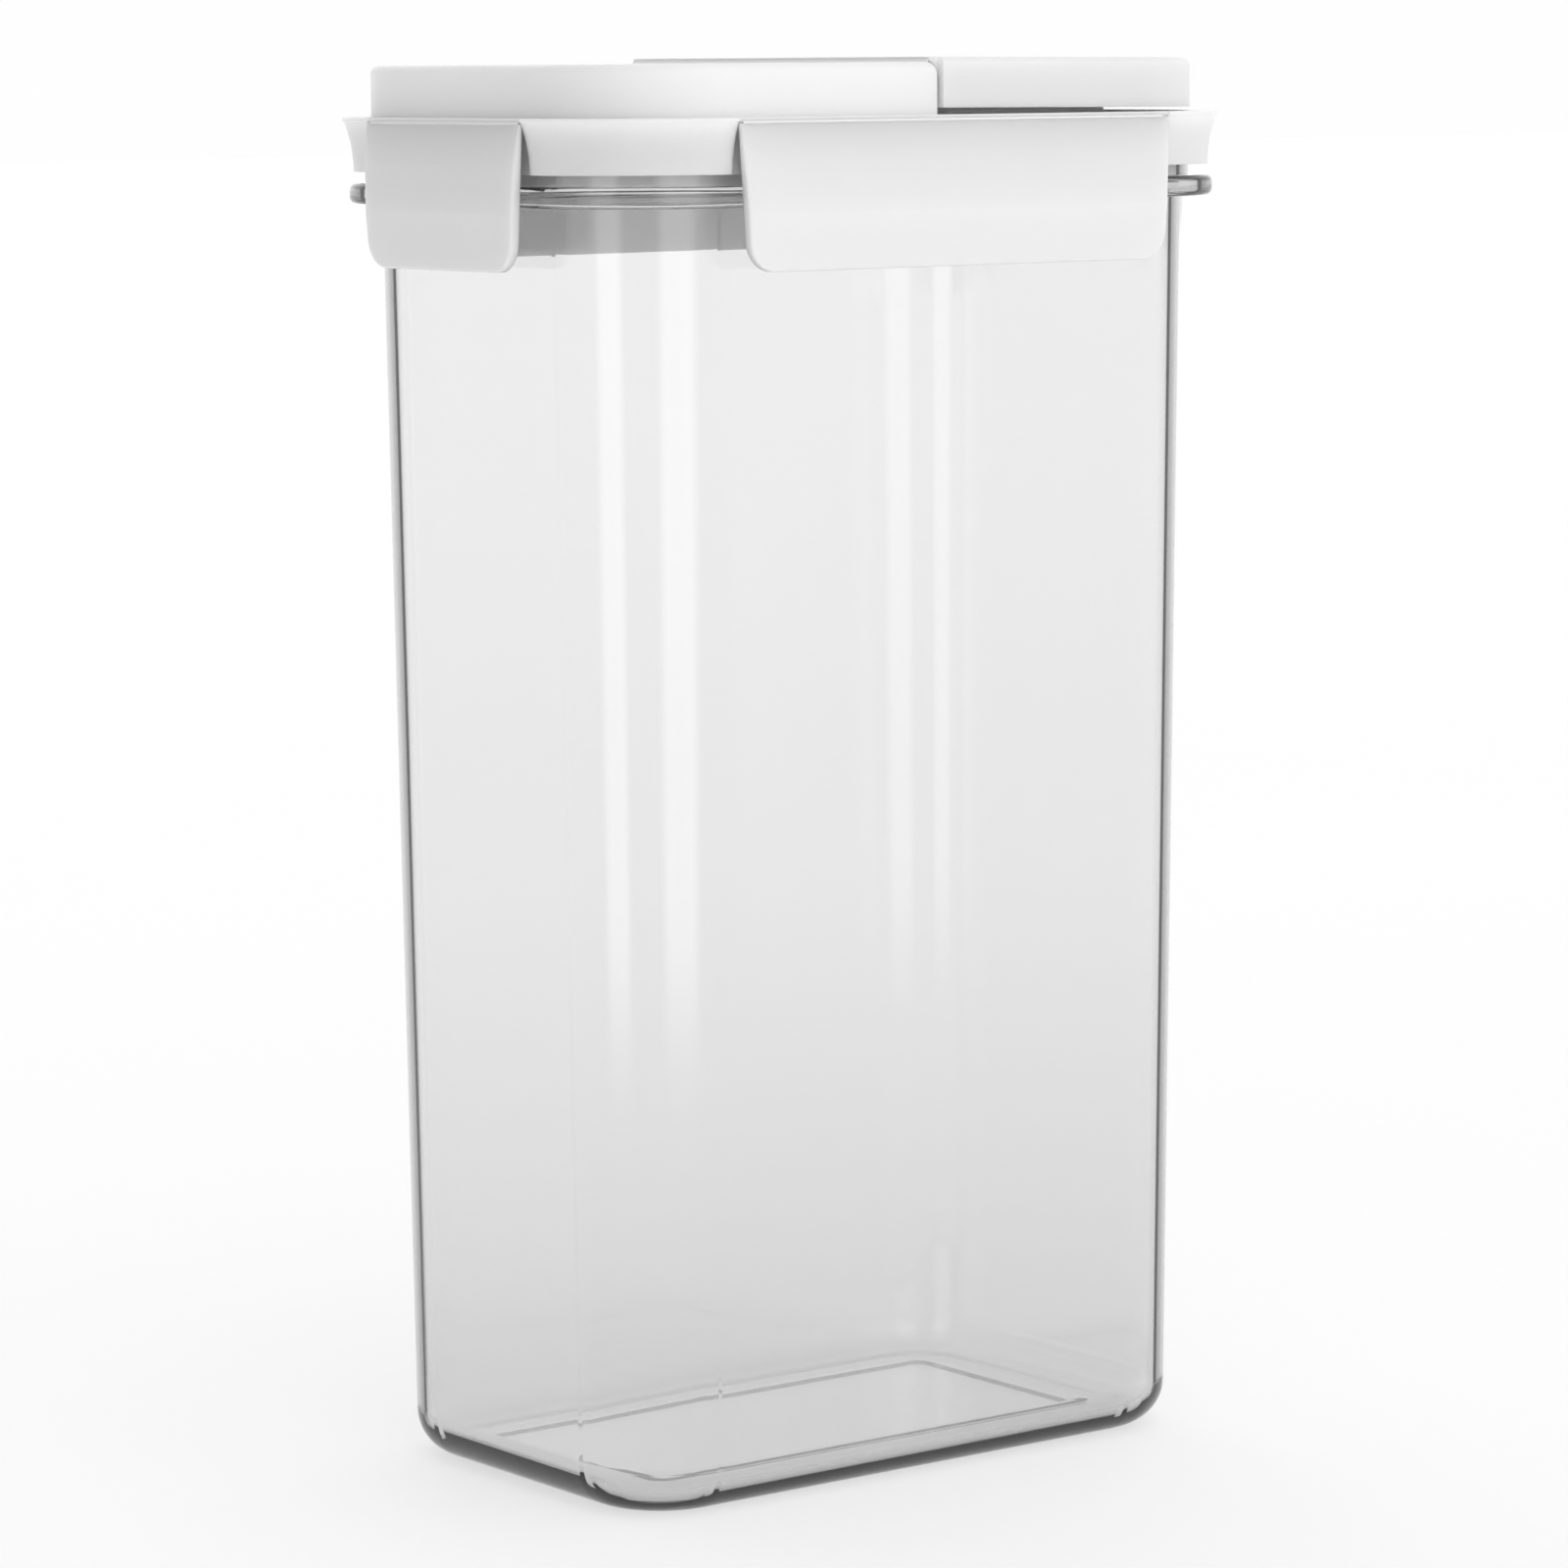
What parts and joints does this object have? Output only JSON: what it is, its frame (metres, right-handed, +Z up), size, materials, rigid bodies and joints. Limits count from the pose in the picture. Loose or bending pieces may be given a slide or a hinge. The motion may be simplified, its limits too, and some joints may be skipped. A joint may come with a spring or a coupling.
{
  "type": "pasta storage container",
  "caption": "Tall clear tapered container for dry pasta with a white locking lid: hinged side flaps catch under a flange, and half of the raised top flips up as a pour cap.",
  "frame": {"origin": "middle of the base, on the table", "axes": "+Z up, +X along the long side towards the pour cap, +Y towards the back"},
  "size_m": [0.168, 0.1146, 0.281],
  "materials": {
    "clear_plastic": "clear, polished",
    "white_plastic": "satin",
    "silicone": "soft matt"
  },
  "bodies": {
    "container": {"container_body": "clear_plastic"},
    "lid": {"lid_body": "white_plastic", "lid_gasket": "silicone"},
    "front_flap": {"flap_front": "white_plastic"},
    "right_flap": {"flap_right": "white_plastic"},
    "back_flap": {"flap_back": "white_plastic"},
    "left_flap": {"flap_left": "white_plastic"},
    "cap": {"pour_cap": "white_plastic", "spout_seal": "silicone"}
  },
  "joints": [
    {"name": "lid_lift", "type": "slide", "parent": "container", "child": "lid", "axis": [0, 0, 1], "range_m": [0, 0.09]},
    {"name": "front_flap_hinge", "type": "hinge", "parent": "lid", "child": "front_flap", "pos_m": [0, -0.0557, 0.26845], "axis": [-1, 0, 0], "range_deg": [0, 135]},
    {"name": "right_flap_hinge", "type": "hinge", "parent": "lid", "child": "right_flap", "pos_m": [0.08235, 0, 0.26845], "axis": [0, -1, 0], "range_deg": [0, 135]},
    {"name": "back_flap_hinge", "type": "hinge", "parent": "lid", "child": "back_flap", "pos_m": [0, 0.0557, 0.26845], "axis": [1, 0, 0], "range_deg": [0, 135]},
    {"name": "left_flap_hinge", "type": "hinge", "parent": "lid", "child": "left_flap", "pos_m": [-0.08235, 0, 0.26845], "axis": [0, 1, 0], "range_deg": [0, 135]},
    {"name": "cap_hinge", "type": "hinge", "parent": "lid", "child": "cap", "pos_m": [-0.00155, 0, 0.28055], "axis": [0, -1, 0], "range_deg": [0, 170]}
  ]
}
